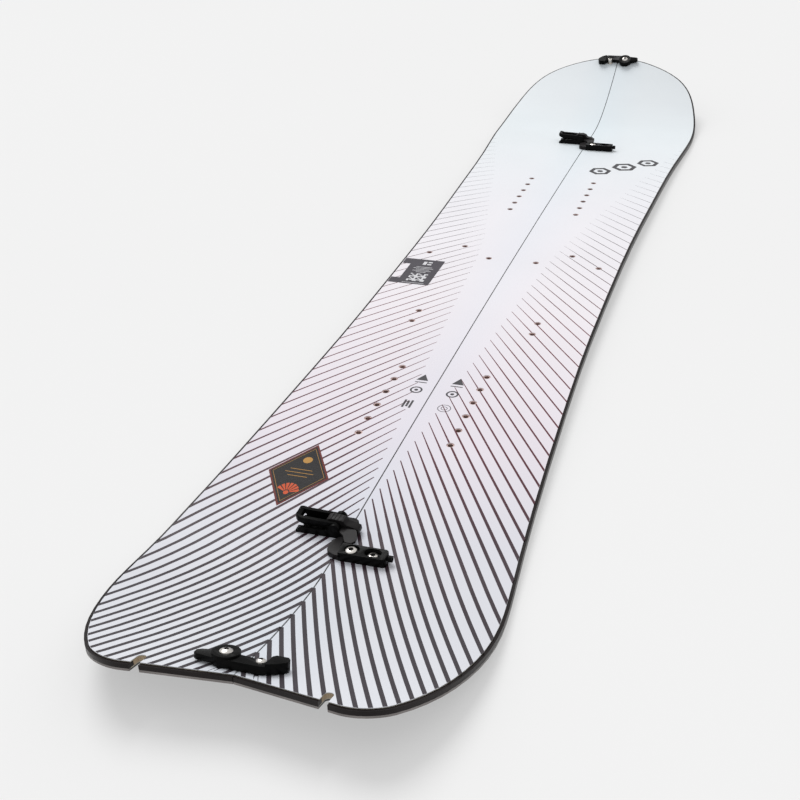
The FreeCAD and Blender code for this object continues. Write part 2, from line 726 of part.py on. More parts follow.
def along_x(radius, x):
    """Cylinder along X between two values of x, about the adjuster's line."""
    return Part.makeCylinder(radius, x[1] - x[0], V(x[0], CATCH_SCREW_Y, ADJUSTER_Z), V(1, 0, 0))


def slot_hole(x0, x1, y, radius, low, high):
    """Upright slot with round ends."""
    parts = [cylinder(radius, high - low, x, y, low) for x in (x0, x1)]
    return fuse(parts + [box((x0, x1), (y - radius, y + radius), (low, high))])


def fillet_upright(shape, radius):
    upright = [e for e in shape.Edges if e.BoundBox.ZLength > 1 and e.BoundBox.XLength < 0.01]
    upright = [e for e in upright if e.BoundBox.YLength < 0.01 and e.BoundBox.XMin > CATCH_X[0] + 1]
    return shape.makeFillet(radius, upright)


def catch_tab():
    """Tab on the catch that laps over the left ski, with a tongue under the catch."""
    sx0 = CATCH_SCREW_X[0]
    shape = prism(CATCH_TAB, DECK_GAP, CATCH_TAB_Z).fuse(tongue(DECK_GAP)).removeSplitter()
    shape = shape.cut(box((ROD[0] - 2.8, 20), (rod_start(), 20), (-1, 20)))
    return shape.cut(slot_hole(sx0, sx0 + CATCH_TRAVEL, CATCH_SCREW_Y, SHANK_R + HOLE_CLEAR, -1, 9))


def rod_start():
    """Where the rod begins, inside the catch."""
    return CATCH_Y[1] - 2.2


def catch_rod():
    """Steel rod that the link pulls on; it stands out of the catch towards the nose."""
    return along_y(ROD_R, (rod_start(), link_span()[1] + 0.6), *ROD)


def catch_screws():
    first = pan_screw(CATCH_SCREW_X[0], CATCH_SCREW_Y, FIRST_SEAT + WASHER_T, HEAD_H)
    second = pan_screw(CATCH_SCREW_X[1], CATCH_SCREW_Y, SECOND_SEAT, SECOND_HEAD_H)
    return Part.Compound([first, second])


def catch_washer():
    x, y = CATCH_SCREW_X[0], CATCH_SCREW_Y
    disc = cylinder(WASHER_R - 0.1, WASHER_T, x, y, FIRST_SEAT)
    return disc.cut(cylinder(SHANK_R, WASHER_T + 2, x, y, FIRST_SEAT - 1))


def adjuster():
    """Tension screw: its tip bears on the fixed screw's head."""
    head_r, gap, length = ADJUSTER_HEAD
    socket_r, depth = ADJUSTER_SOCKET
    tip = CATCH_SCREW_X[1] + HEAD_R + 0.02
    head_x = CATCH_X[1] + gap
    rod = along_x(ADJUSTER_R, (tip, head_x)).fuse(along_x(head_r, (head_x, head_x + length)))
    socket = hexagon(socket_r, depth + 1, 0, 0, 0)
    socket.rotate(V(0, 0, 0), V(0, 1, 0), 90)
    socket.translate(V(head_x + length - depth, CATCH_SCREW_Y, ADJUSTER_Z))
    return rod.removeSplitter().cut(socket)


def build_clip(name, clip_y):
    """One mid clip: the lever on the left ski draws the catch on the right ski."""
    pieces = {
        "lever_base": lever_base(),
        "lever_tab": lever_tab(),
        "lever": lever(),
        "hinge_pins": hinge_pins(),
        "draw_link": draw_link(),
        "link_pin": link_pin(),
        "lever_screws": base_screws(),
        "catch_body": catch_body(),
        "catch_tab": catch_tab(),
        "catch_rod": catch_rod(),
        "catch_screws": catch_screws(),
        "catch_washer": catch_washer(),
        "adjuster": adjuster(),
    }
    deck = band(Z_TOP - 8, Z_TOP, -150)
    for part_name, shape in pieces.items():
        shape = seat_on_deck(shape, 0, clip_y, False)
        if part_name in ("lever_base", "catch_body"):
            shape = shape.cut(deck)
        write(name + "_" + part_name, shape)


def write(name, shape):
    solids = shape.Solids
    result = solids[0] if len(solids) == 1 else Part.Compound(solids)
    result.exportStep("parts/" + name + ".step")
    print(name, len(solids), "valid" if result.isValid() else "BROKEN", round(result.Volume / 1000.0, 2))


LAYERS = ski_layers()
build_ski("left")
build_ski("right")
build_hook("nose", NOSE_HOOK_Y, False)
build_hook("tail", TAIL_HOOK_Y, True)
build_clip("front", FRONT_CLIP_Y)
build_clip("rear", REAR_CLIP_Y)
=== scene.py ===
"""Looks of the splitboard: printed graphic, finishes, softened clips, floor, lights and camera.

Lengths in this script are millimetres in the row frame, and MM turns them into metres.
X runs across the board with the seam at 0, Y towards the nose, Z up.
"""

import json
import math

import bmesh
import bpy
from mathutils import Matrix, Vector
from mathutils.bvhtree import BVHTree


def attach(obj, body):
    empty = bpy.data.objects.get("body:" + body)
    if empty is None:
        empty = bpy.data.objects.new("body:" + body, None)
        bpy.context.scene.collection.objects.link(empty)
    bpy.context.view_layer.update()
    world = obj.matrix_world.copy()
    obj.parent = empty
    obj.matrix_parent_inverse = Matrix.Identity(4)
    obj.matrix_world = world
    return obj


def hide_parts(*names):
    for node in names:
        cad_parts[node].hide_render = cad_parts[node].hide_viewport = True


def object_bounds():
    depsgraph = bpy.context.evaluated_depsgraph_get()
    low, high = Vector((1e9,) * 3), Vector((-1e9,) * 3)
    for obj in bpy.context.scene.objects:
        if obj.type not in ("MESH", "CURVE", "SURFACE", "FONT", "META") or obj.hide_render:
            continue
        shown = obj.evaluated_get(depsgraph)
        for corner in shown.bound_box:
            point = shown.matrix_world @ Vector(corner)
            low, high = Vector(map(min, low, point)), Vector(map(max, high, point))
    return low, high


MM = 0.001
SIDES = {"left": -1, "right": 1}
CLIPS = ("front", "rear")
HOOKS = {"nose": ("right_ski", "left_ski"), "tail": ("left_ski", "right_ski")}   # of pivot and stud

# ---- reading the deck ------------------------------------------------------------------
LOOK_FROM = 1.0                 # metres above the floor
FACES_UP = 0.5                  # a face whose normal has this much z counts as deck
NUDGES = (0, 1, 2, 4, 6, 8)     # how far from a hole or edge the deck's height is looked for

# ---- printed stripes -------------------------------------------------------------------
STRIPE_X = 80.0                 # the stripes are spaced along this line, one on each ski
STRIPE_FIRST_Y = -925.0
STRIPE_LAST_Y = 560.0
STRIPE_PITCHES = [(-590.0, 19.4), (-95.0, 20.95), (600.0, 20.4)]   # pitch up to each y
STRIPE_PHASE_Y = -590.0         # one stripe crosses STRIPE_X here
STRIPE_SLOPE = 1.91             # fall of a stripe towards the tail for each step outwards
STRIPE_SLOPE_FROM = -620.0
STRIPE_SLOPE_LOSS = 0.00128     # for each step towards the nose
STRIPE_BEND = 0.004             # extra curve of the stripes at the tail
STRIPE_BEND_FROM = -560.0
STRIPE_BEND_OVER = 190.0
# y of the deck, width of a stripe there
STRIPE_WIDTHS = [(-640.0, 3.2), (-545.0, 3.0), (-470.0, 2.3), (-400.0, 1.8), (-260.0, 1.35), (-50.0, 1.0),
                 (150.0, 0.8), (330.0, 0.6), (560.0, 0.4)]
V_APEX_Y = -540.0               # the unprinted V opens from here towards the nose
V_SPREAD = 0.078
FADE_FROM_Y = 20.0              # nearer the nose the stripes thin out from the inside
FADE_SPREAD = 0.14              # how fast the thin part widens towards the nose
FADE_OVER = 45.0                # width of the thin part's border
FADE_START = 0.35               # part of its width that a stripe has where the border begins
NEEDLE = 34.0                   # length over which a stripe comes to its full width
NEEDLE_START = 0.45             # part of its width that it starts with
THINNEST = 0.12                 # nothing narrower is printed
OUTERMOST_X = 152.0
STEP = 2.5                      # sampling step across the ski
SEARCH_STEP = 0.5               # the same where nothing is printed
SEAM_X = 0.4                    # the print stops this far from the seam's middle
EDGE_STEP = 0.2                 # how a stripe is carried on to the edge of the film
EDGE_STEPS = 60

# ---- stickers and marks -------------------------------------------------------------------
INFO_PANEL = [(-76, -84), (-124, -84), (-124, -70), (-114, -70), (-114, -29), (-124, -29), (-124, -14),
              (-76, -14)]
INFO_BARS = (19, 24, 16, 22, 12)   # lengths, in place of small print
CODE_CELLS = 9                  # squares along each side of the label's block pattern
CODE_SIZE = 21.0
CODE_CORNER = (-105.0, -76.0)
DIAMOND_PLACE = (-70.5, -478.0)
DIAMOND_HALF = (27.8, 47.5)
DIAMOND_BARS = (20, 26, 18)
FAN_BLADES = 7
FAN_FROM = 0.08                 # parts of half a turn where the fan starts
FAN_SPREAD = 0.84               # and over which it spreads
FAN_BLADE = 0.72                # part of its share that each blade fills
FAN_RADII = (3.0, 10.5)
FAN_STRETCH = 1.35
ICON_X = {"left": -16.0, "right": 20.0}
MARK_HEXAGONS = [(43.0, 356.0, 16.0), (73.0, 382.0, 18.0), (103.0, 408.0, 16.0)]   # x, y, radius
HEXAGON_TURN = 0.3

PRINT_LIFT = 0.05               # printed film stands this far off the topsheet
STICKER_LIFT = 0.12
LAYER_LIFT = 0.05               # one layer of a sticker over another
DRAPE_CELL = 9.0                # films are cut into cells of this size
MARK_CELL = 20.0
DRAPE_PASSES = 8
FILM_SHINE = 0.2                # specular level of the printed film
STICKER_SHINE = 0.12
DARK_SHINE = 0.06
GREY_SHINE = 0.12
SIDEWALL_SHINE = 0.14
FILM_ROUGHNESS = (0.34, 0.46)
PEBBLE = 1400.0                 # noise scale of the film's texture
NOISE_RANGE = (0.3, 0.7)        # where most of a noise's values lie
GRAIN_DEPTH = 0.0001            # metres, bump of the finest grains
SEAM_SHADE_BAND = (0.32, 0.52)        # painted shade of the seam's gap, a dark band along each side of the seam
SEAM_STEP = 8.0
SEAM_COOL = 0.055               # metres from the seam over which the film turns warmer
SINK = 0.06                     # how far a printed film reaches into the topsheet

# ---- hardware, in the clips' and hooks' own axes ---------------------------------------------
SOFTENED = ("lever_base", "lever_tab", "lever", "draw_link", "catch_body", "catch_tab")
EDGE_BREAK = 0.35
WELD = 2e-6                      # metres
FLAT_ANGLE = 1.5                 # degrees: faces this near to one plane are joined
SHARP_ANGLE = 32.0               # edges sharper than this are broken
SMOOTH_ANGLE = 28.0              # and those under this are shaded smooth
LEVER_HINGE = (-8.0, 11.0, 8.0)  # where the lever's joint lies
HOOK_JOINT_Z = 4.4
STUD_REACH = 25.0                # from a hook's pivot to its stud
# thickness of each dark disc of painted shade laid at the bottom of a hex socket
SOCKET_SHADE_THICKNESS = 0.3
# x, y, bottom and radius of the sockets in the catch's two screws, where dark discs of painted shade lie
CATCH_SOCKETS = [(13.8, -18.4, 7.1, 2.2), (31.6, -18.4, 4.9, 2.2)]
# the hooks' pivot and stud sockets get the same painted shade, each given by its bottom and radius
PIVOT_SOCKET = (9.1, 1.9)        # bottom and radius
STUD_SOCKET = (6.7, 1.5)
GRIP_RIBS = 4
GRIP_X = (-12.5, -4.0)
GRIP_Y = 11.0
GRIP_SIZE = (0.9, 7.0)           # of a rib, along x and y
GRIP_TOP = [(-12.5, 14.2), (-2.0, 13.2)]   # x, height of the lever there
GRIP_SINK = 0.6
GRIP_RISE = 0.35

# ---- camera, as a photographer would set it ------------------------------------------------
CAMERA_PLACE = (304.7, -1264.2, 571.4)
CAMERA_TURN = (60.297, 1.197, 16.693)
CAMERA_LENS = 53.75
CAMERA_SENSOR = 36.0
CAMERA_SHIFT_X = -0.05

# ---- floor and lights ---------------------------------------------------------------------
FLOOR_HALF = 40.0               # metres
FLOOR_GREY = 0.45
FLOOR_VARY = 0.003
FLOOR_GLOW = 0.415
FLOOR_DROP = 0.0005             # metres, clear of the lowest piece
WORLD_RAMP = [(0.0, 0.70), (0.45, 1.0)]   # height of a direction, brightness there
WORLD_STRENGTH = 0.64
SUN_STRENGTH = 1.7
SUN_ANGLE = 34.0
SUN_FROM = (-0.5, 0.6, 1.0)

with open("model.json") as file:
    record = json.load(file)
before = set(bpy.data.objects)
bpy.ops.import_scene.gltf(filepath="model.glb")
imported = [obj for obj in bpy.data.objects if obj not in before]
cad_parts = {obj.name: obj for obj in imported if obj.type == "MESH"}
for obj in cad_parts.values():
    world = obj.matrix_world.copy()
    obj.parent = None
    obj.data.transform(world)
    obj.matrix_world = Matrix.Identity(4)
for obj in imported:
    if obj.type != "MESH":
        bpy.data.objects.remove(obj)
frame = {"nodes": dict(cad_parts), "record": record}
cad_box = [list(corner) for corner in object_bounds()]


# ---- the deck, as the frame has it ---------------------------------------------------------
def tree_of(node):
    mesh = frame["nodes"][node].data
    return BVHTree.FromPolygons([v.co for v in mesh.vertices], [p.vertices for p in mesh.polygons])


DECKS = {side: tree_of(side + "_topsheet") for side in SIDES}


def deck_height(x, y):
    """Height of the topsheet at a place, or None over a hole or past the outline."""
    tree = DECKS["left" if x < 0 else "right"]
    place, normal, _, _ = tree.ray_cast(Vector((x * MM, y * MM, LOOK_FROM)), Vector((0, 0, -1)))
    if place is None or normal.z < FACES_UP:
        return None
    return place.z / MM


def nearest_height(x, y):
    """Height of the deck beside a place that may be over a hole or just off the edge."""
    for nudge in NUDGES:
        for dx, dy in ((nudge, 0), (-nudge, 0), (0, nudge), (0, -nudge)):
            height = deck_height(x + dx, y + dy)
            if height is not None:
                return height
    return None


# ---- small mesh helpers --------------------------------------------------------------------
def new_object(name, bm, material, body):
    """Makes a piece of a mesh, riding on a body."""
    mesh = bpy.data.meshes.new(name)
    bmesh.ops.recalc_face_normals(bm, faces=bm.faces)
    bm.to_mesh(mesh)
    bm.free()
    obj = bpy.data.objects.new(name, mesh)
    bpy.context.scene.collection.objects.link(obj)
    mesh.materials.append(material)
    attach(obj, body)
    return obj


def add_strip(bm, rows, lift):
    """Closed thin strip over rows of (left, right) plan points."""
    rings = []
    for left, right in rows:
        ring = []
        for x, y in (left, right):
            height = nearest_height(x, y)
            ring.append(bm.verts.new((x * MM, y * MM, (height + lift) * MM)))
        for x, y in (right, left):
            height = nearest_height(x, y)
            ring.append(bm.verts.new((x * MM, y * MM, (height - SINK) * MM)))
        rings.append(ring)
    for a, b in zip(rings, rings[1:]):
        for i in range(4):
            j = (i + 1) % 4
            bm.faces.new((a[i], a[j], b[j], b[i]))
    bm.faces.new(rings[0][::-1])
    bm.faces.new(rings[-1])


def draped(name, outlines, lift, material, body, cell=DRAPE_CELL):
    """Thin closed film over plan outlines, cut into cells so that it follows the deck."""
    bm = bmesh.new()
    for outline in outlines:
        verts = [bm.verts.new((x, y, 0)) for x, y in outline]
        bm.faces.new(verts)
    bmesh.ops.triangulate(bm, faces=bm.faces[:])
    for _ in range(DRAPE_PASSES):
        long_edges = [e for e in bm.edges if e.calc_length() > cell]
        if not long_edges:
            break
        bmesh.ops.subdivide_edges(bm, edges=long_edges, cuts=1, use_grid_fill=False)
        bmesh.ops.triangulate(bm, faces=[f for f in bm.faces if len(f.verts) > 3])
    extruded = bmesh.ops.extrude_face_region(bm, geom=bm.faces[:])["geom"]
    raised = {v for v in extruded if isinstance(v, bmesh.types.BMVert)}
    for v in bm.verts:
        height = nearest_height(v.co.x, v.co.y)
        above = lift if v in raised else -SINK
        v.co = Vector((v.co.x, v.co.y, height + above)) * MM
    new_object(name, bm, material, body)


# ---- materials -------------------------------------------------------------------------------
class Nodes:
    """A Principled material with helpers for the few procedural nodes used here."""

    def __init__(self, name, colour, roughness, metallic=0.0):
        self.material = bpy.data.materials.new(name)
        self.material.use_nodes = True
        self.tree = self.material.node_tree
        self.shader = self.tree.nodes["Principled BSDF"]
        self.set("Base Color", (*colour, 1))
        self.set("Roughness", roughness)
        self.set("Metallic", metallic)

    def set(self, socket, value):
        self.shader.inputs[socket].default_value = value

    def add(self, kind, **settings):
        node = self.tree.nodes.new(kind)
        for key, value in settings.items():
            if key in node.inputs:
                node.inputs[key].default_value = value
            else:
                setattr(node, key, value)
        return node

    def link(self, source, target):
        self.tree.links.new(source, target)

    def place(self, scale=(1, 1, 1)):
        """Object coordinates, stretched."""
        source = self.add("ShaderNodeTexCoord")
        mapping = self.add("ShaderNodeMapping")
        mapping.inputs["Scale"].default_value = scale
        self.link(source.outputs["Object"], mapping.inputs["Vector"])
        return mapping.outputs["Vector"]

    def noise(self, scale, stretch=(1, 1, 1), detail=3.0):
        """Noise in object coordinates."""
        node = self.add("ShaderNodeTexNoise", Scale=scale, Detail=detail)
        self.link(self.place(stretch), node.inputs["Vector"])
        return node.outputs["Fac"]

    def ramp(self, factor, stops):
        """Colour ramp over (position, colour) stops."""
        node = self.add("ShaderNodeValToRGB")
        elements = node.color_ramp.elements
        while len(elements) < len(stops):
            elements.new(0.5)
        for element, (position, colour) in zip(elements, stops):
            element.position = position
            element.color = (*colour, 1)
        self.link(factor, node.inputs["Fac"])
        return node.outputs["Color"]

    def blend(self, factor, low, high):
        """Takes a noise from one colour to another."""
        return self.ramp(factor, list(zip(NOISE_RANGE, (low, high))))

    def times(self, colour, shade):
        """Product of two colours."""
        mix = self.add("ShaderNodeMix", data_type="RGBA", blend_type="MULTIPLY")
        mix.inputs["Factor"].default_value = 1.0
        self.link(colour, mix.inputs["A"])
        self.link(shade, mix.inputs["B"])
        return mix.outputs["Result"]

    def spread(self, factor, low, high):
        """Takes a noise from one value to another."""
        node = self.add("ShaderNodeMapRange")
        node.inputs["From Min"].default_value = NOISE_RANGE[0]
        node.inputs["From Max"].default_value = NOISE_RANGE[1]
        node.inputs["To Min"].default_value = low
        node.inputs["To Max"].default_value = high
        self.link(factor, node.inputs["Value"])
        return node.outputs["Result"]

    def bump(self, height, strength, distance=GRAIN_DEPTH):
        node = self.add("ShaderNodeBump", Strength=strength, Distance=distance)
        self.link(height, node.inputs["Height"])
        self.link(node.outputs["Normal"], self.shader.inputs["Normal"])

    def along_board(self):
        """0 at the tail's end of the board, 1 at the nose's."""
        low, high = (corner[1] for corner in cad_box)
        split = self.add("ShaderNodeSeparateXYZ")
        self.link(self.place(), split.inputs["Vector"])
        node = self.add("ShaderNodeMapRange")
        node.inputs["From Min"].default_value = low
        node.inputs["From Max"].default_value = high
        self.link(split.outputs["Y"], node.inputs["Value"])
        return node.outputs["Result"]

    def from_seam(self):
        """0 at the seam, 1 where the film has its own colour."""
        split = self.add("ShaderNodeSeparateXYZ")
        self.link(self.place(), split.inputs["Vector"])
        size = self.add("ShaderNodeMath", operation="ABSOLUTE")
        self.link(split.outputs["X"], size.inputs[0])
        node = self.add("ShaderNodeMapRange")
        node.inputs["From Max"].default_value = SEAM_COOL
        self.link(size.outputs["Value"], node.inputs["Value"])
        return node.outputs["Result"]


def grey(value):
    return (value, value, value)


def worn(name, colour, roughness, metallic=0.0, grain=600.0, stretch=(1, 1, 1), vary=0.25,
         relief=0.12, shine=0.5):
    """A finish with fine grain: the colour and the roughness vary and the grain stands a little proud."""
    m = Nodes(name, colour, roughness, metallic)
    grain_value = m.noise(grain, stretch)
    cloud = m.noise(grain / 12, stretch)
    low = tuple(c * (1 - vary) for c in colour)
    high = tuple(min(1, c * (1 + vary)) for c in colour)
    m.link(m.blend(cloud, low, high), m.shader.inputs["Base Color"])
    m.link(m.spread(grain_value, roughness * 0.8, roughness * 1.2), m.shader.inputs["Roughness"])
    m.bump(grain_value, relief)
    m.set("Specular IOR Level", shine)
    return m.material


def sticker(name, colour, grain=700.0, vary=0.08):
    """Printed film, smoother than the machined pieces."""
    return worn(name, colour, 0.40, grain=grain, vary=vary, relief=0.04, shine=STICKER_SHINE)


def topsheet_material():
    """Satin white film, cooler at the ends and a little pink in the middle, with a fine pebble."""
    m = Nodes("topsheet_film", (0.80, 0.81, 0.84), 0.36)
    tint = m.ramp(m.along_board(), [(0.0, (0.72, 0.735, 0.78)), (0.08, (0.68, 0.69, 0.735)),
                                    (0.15, (0.68, 0.68, 0.735)), (0.24, (0.77, 0.72, 0.78)),
                                    (0.42, (0.86, 0.82, 0.86)), (0.62, (0.86, 0.85, 0.89)),
                                    (0.8, (0.82, 0.86, 0.89)), (0.87, (0.80, 0.85, 0.88)),
                                    (0.93, (0.75, 0.79, 0.82)), (1.0, (0.74, 0.78, 0.81))])
    clouded = m.times(tint, m.blend(m.noise(9.0, detail=2.0), grey(0.975), grey(1.0)))
    cool = m.ramp(m.from_seam(), [(0.0, (0.955, 0.985, 1.0)), (1.0, grey(1.0))])
    m.link(m.times(clouded, cool), m.shader.inputs["Base Color"])
    pebble = m.noise(PEBBLE, detail=2.0)
    m.link(m.spread(pebble, *FILM_ROUGHNESS), m.shader.inputs["Roughness"])
    m.bump(pebble, 0.10)
    m.set("Specular IOR Level", FILM_SHINE)
    return m.material


def ink_material():
    """Printed ink: charcoal at the tail, maroon under the rear foot, grey at the front."""
    m = Nodes("stripe_ink", (0.06, 0.045, 0.055), 0.36)
    colour = m.ramp(m.along_board(), [(0.07, (0.052, 0.044, 0.052)), (0.15, (0.040, 0.016, 0.026)),
                                      (0.23, (0.095, 0.012, 0.024)), (0.40, (0.16, 0.022, 0.034)),
                                      (0.50, (0.09, 0.045, 0.05)), (0.60, (0.09, 0.08, 0.09)),
                                      (1.0, (0.13, 0.13, 0.14))])
    clouded = m.times(colour, m.blend(m.noise(40.0), grey(0.85), grey(1.0)))
    m.link(clouded, m.shader.inputs["Base Color"])
    m.link(m.spread(m.noise(PEBBLE), *FILM_ROUGHNESS), m.shader.inputs["Roughness"])
    m.set("Specular IOR Level", FILM_SHINE)
    return m.material


def wood_material():
    """Poplar and paulownia strips laid lengthwise."""
    m = Nodes("core_strips", (0.62, 0.46, 0.28), 0.6)
    strips = m.add("ShaderNodeTexWave", wave_type="BANDS", bands_direction="X", wave_profile="SAW")
    strips.inputs["Scale"].default_value = 16.0
    strips.inputs["Distortion"].default_value = 0.4
    m.link(m.place(), strips.inputs["Vector"])
    colour = m.ramp(strips.outputs["Fac"], [(0.1, (0.50, 0.34, 0.18)), (0.9, (0.70, 0.54, 0.34))])
    m.link(colour, m.shader.inputs["Base Color"])
    m.bump(m.noise(300.0, (6, 0.4, 6)), 0.2, 2 * GRAIN_DEPTH)
    return m.material


def base_material():
    """Sintered base with a fine stone grind along the board."""
    m = Nodes("sintered_base", (0.012, 0.012, 0.014), 0.4)
    grind = m.noise(900.0, (1, 0.03, 1), 2.0)
    m.link(m.blend(m.noise(30.0), grey(0.009), grey(0.017)), m.shader.inputs["Base Color"])
    m.link(m.spread(grind, 0.3, 0.5), m.shader.inputs["Roughness"])
    m.bump(grind, 0.25)
    return m.material


FINISHES = {
    "topsheet": topsheet_material(),
    "base": base_material(),
    "core_wood": wood_material(),
    "edge_steel": worn("ground_steel", (0.20, 0.185, 0.18), 0.38, 1.0, 500.0, (1, 0.05, 1)),
    "glass_laminate": worn("glass_laminate", (0.40, 0.37, 0.30), 0.45, 0.0, 800.0, (1, 0.2, 1)),
    "tip_spacer": worn("tip_spacer", (0.42, 0.33, 0.22), 0.55, 0.0, 300.0),
    "sidewall": worn("black_sidewall", (0.009, 0.006, 0.006), 0.30, 0.0, 500.0, (1, 0.15, 1), 0.2,
                     0.2, SIDEWALL_SHINE),
    "insert_steel": worn("insert_steel", (0.42, 0.30, 0.28), 0.5, 0.6, 900.0),
    "clip_black": worn("black_anodised", grey(0.003), 0.30, 0.0, 1500.0, relief=0.25, shine=DARK_SHINE),
    "clip_grey": worn("grey_anodised", (0.013, 0.0115, 0.012), 0.40, 0.0, 1500.0, relief=0.25,
                      shine=GREY_SHINE),
    "bright_steel": worn("turned_steel", (0.78, 0.75, 0.71), 0.30, 1.0, 700.0, vary=0.06, relief=0.05),
    "black_screw": worn("black_oxide", grey(0.004), 0.38, 0.0, 900.0, shine=DARK_SHINE),
    "washer_plastic": worn("washer_nylon", grey(0.010), 0.5, 0.0, 600.0, shine=DARK_SHINE),
}
INK = ink_material()
STICKER_GREY = sticker("sticker_grey", (0.072, 0.066, 0.078))
STICKER_BLACK = sticker("sticker_black", (0.009, 0.0075, 0.008))
STICKER_WHITE = sticker("sticker_white", (0.70, 0.70, 0.72))
STICKER_RED = sticker("sticker_red", (0.13, 0.016, 0.012))
STICKER_GOLD = sticker("sticker_gold", (0.44, 0.23, 0.05))
STICKER_ORANGE = sticker("sticker_orange", (0.58, 0.085, 0.022), 120.0, 0.45)
MARK_INK = sticker("mark_ink", (0.070, 0.068, 0.074))


def finish_nodes():
    """Gives every CAD node the finish of its material slot."""
    for part in frame["record"]["subparts"]:
        obj = frame["nodes"][part["node"]]
        for place in obj.material_slots:
            place.material = FINISHES[part["material_slot"]]


# ---- stripes ------------------------------------------------------------------------------------
def between(points, at):
    """Value at a place on a line of (place, value) points."""
    if at <= points[0][0]:
        return points[0][1]
    for (a, low), (b, high) in zip(points, points[1:]):
        if at <= b:
            return low + (high - low) * (at - a) / (b - a)
    return points[-1][1]


def pitch_at(y):
    """Distance along STRIPE_X from one stripe to the next."""
    for limit, pitch in STRIPE_PITCHES:
        if y < limit:
            return pitch
    return STRIPE_PITCHES[-1][1]


def stripe_places():
    """Where the stripes cross STRIPE_X, from the tail to the nose."""
    places = [STRIPE_PHASE_Y]
    while places[0] > STRIPE_FIRST_Y:
        places.insert(0, places[0] - pitch_at(places[0] - 1))
    while places[-1] < STRIPE_LAST_Y:
        places.append(places[-1] + pitch_at(places[-1]))
    return places


def stripe_y(place, x):
    """y of the stripe that crosses STRIPE_X at the given place."""
    slope = STRIPE_SLOPE - max(0.0, place - STRIPE_SLOPE_FROM) * STRIPE_SLOPE_LOSS
    bend = STRIPE_BEND * min(1.0, max(0.0, (STRIPE_BEND_FROM - place) / STRIPE_BEND_OVER))
    return place - slope * (x - STRIPE_X) + bend * (x - STRIPE_X) ** 2 / 2


def stripe_width(x, y):
    """Width of the stripe: it starts as a needle at the V and fades out towards the nose."""
    start = max(0.0, (y - V_APEX_Y) * V_SPREAD)
    if x < start:
        return 0.0
    full = between(STRIPE_WIDTHS, y)
    if start > 0:
        full *= min(1.0, NEEDLE_START + (1 - NEEDLE_START) * (x - start) / NEEDLE)
    if y > FADE_FROM_Y:
        fade_x = start + (y - FADE_FROM_Y) * FADE_SPREAD
        full *= min(1.0, max(0.0, (x - fade_x) / FADE_OVER + FADE_START))
    return full


def stripe_runs(sign, place):
    """Runs of x along one stripe where it is printed on the ski."""
    runs = [[]]
    x = SEAM_X
    while x < OUTERMOST_X:
        y = stripe_y(place, x)
        printed = stripe_width(x, y) > THINNEST and deck_height(sign * x, y) is not None
        if printed:
            runs[-1].append(x)
        elif runs[-1]:
            runs.append([])
        x += STEP if printed else SEARCH_STEP
    return [run for run in runs if len(run) > 1]


def border(sign, place, x, side):
    """Point on one border of a stripe: side is 1 or -1."""
    fall = stripe_y(place, x + 0.5) - stripe_y(place, x - 0.5)
    length = math.hypot(1.0, fall)
    y = stripe_y(place, x)
    reach = side * max(THINNEST, stripe_width(x, y)) / 2
    return (sign * (x - fall / length * reach), y + reach / length)


def to_edge(sign, place, x, side, step):
    """Carries one border of a stripe on to the edge of the film or hole."""
    point = border(sign, place, x, side)
    for _ in range(EDGE_STEPS):
        x += step
        further = border(sign, place, x, side)
        past_seam = abs(further[0]) < SEAM_X
        if past_seam or stripe_width(x, further[1]) <= THINNEST or deck_height(*further) is None:
            break
        point = further
    return point


def strip_rows(sign, place, run):
    """Pairs of border points along a run, ending at the edge on both borders."""
    rows = [tuple(to_edge(sign, place, run[0], side, -EDGE_STEP) for side in (1, -1))]
    rows += [tuple(border(sign, place, x, side) for side in (1, -1)) for x in run[1:-1]]
    rows.append(tuple(to_edge(sign, place, run[-1], side, EDGE_STEP) for side in (1, -1)))
    return rows


def make_stripes():
    """All the stripes of each ski, in one piece for each."""
    for side, sign in SIDES.items():
        bm = bmesh.new()
        for place in stripe_places():
            for run in stripe_runs(sign, place):
                add_strip(bm, strip_rows(sign, place, run), PRINT_LIFT)
        new_object(side + "_stripes", bm, INK, side + "_ski")


def make_seam_gap_shade():
    """Painted shade of the seam's gap: a dark band along each cut edge of the topsheet."""
    for side, sign in SIDES.items():
        rows = []
        y = cad_box[0][1] / MM
        while y < cad_box[1][1] / MM:
            if all(deck_height(sign * x, y) is not None for x in SEAM_SHADE_BAND):
                rows.append(tuple((sign * x, y) for x in SEAM_SHADE_BAND))
            y += SEAM_STEP
        bm = bmesh.new()
        add_strip(bm, rows, PRINT_LIFT)
        # the band is painted shade of the gap and takes the black sidewall's finish
        new_object(side + "_seam_shade", bm, FINISHES["sidewall"], side + "_ski")


# ---- stickers and marks ------------------------------------------------------------------------------
def rectangle(x, y, width, height):
    """Corners of a rectangle about its centre."""
    w, h = width / 2, height / 2
    return [(x - w, y - h), (x + w, y - h), (x + w, y + h), (x - w, y + h)]


def ellipse(x, y, rx, ry, count=24):
    """Corners on an ellipse; with a small count, a regular polygon."""
    return [(x + rx * math.cos(2 * math.pi * i / count), y + ry * math.sin(2 * math.pi * i / count))
            for i in range(count)]


def ring(x, y, outer, inner, count=6, turn=0.0):
    """Ring of quads between two polygons with the same corners."""
    quads = []
    for i in range(count):
        a = 2 * math.pi * i / count + turn
        b = 2 * math.pi * (i + 1) / count + turn
        quads.append([(x + r * math.cos(t), y + r * math.sin(t)) for r, t in
                      ((outer, a), (outer, b), (inner, b), (inner, a))])
    return quads


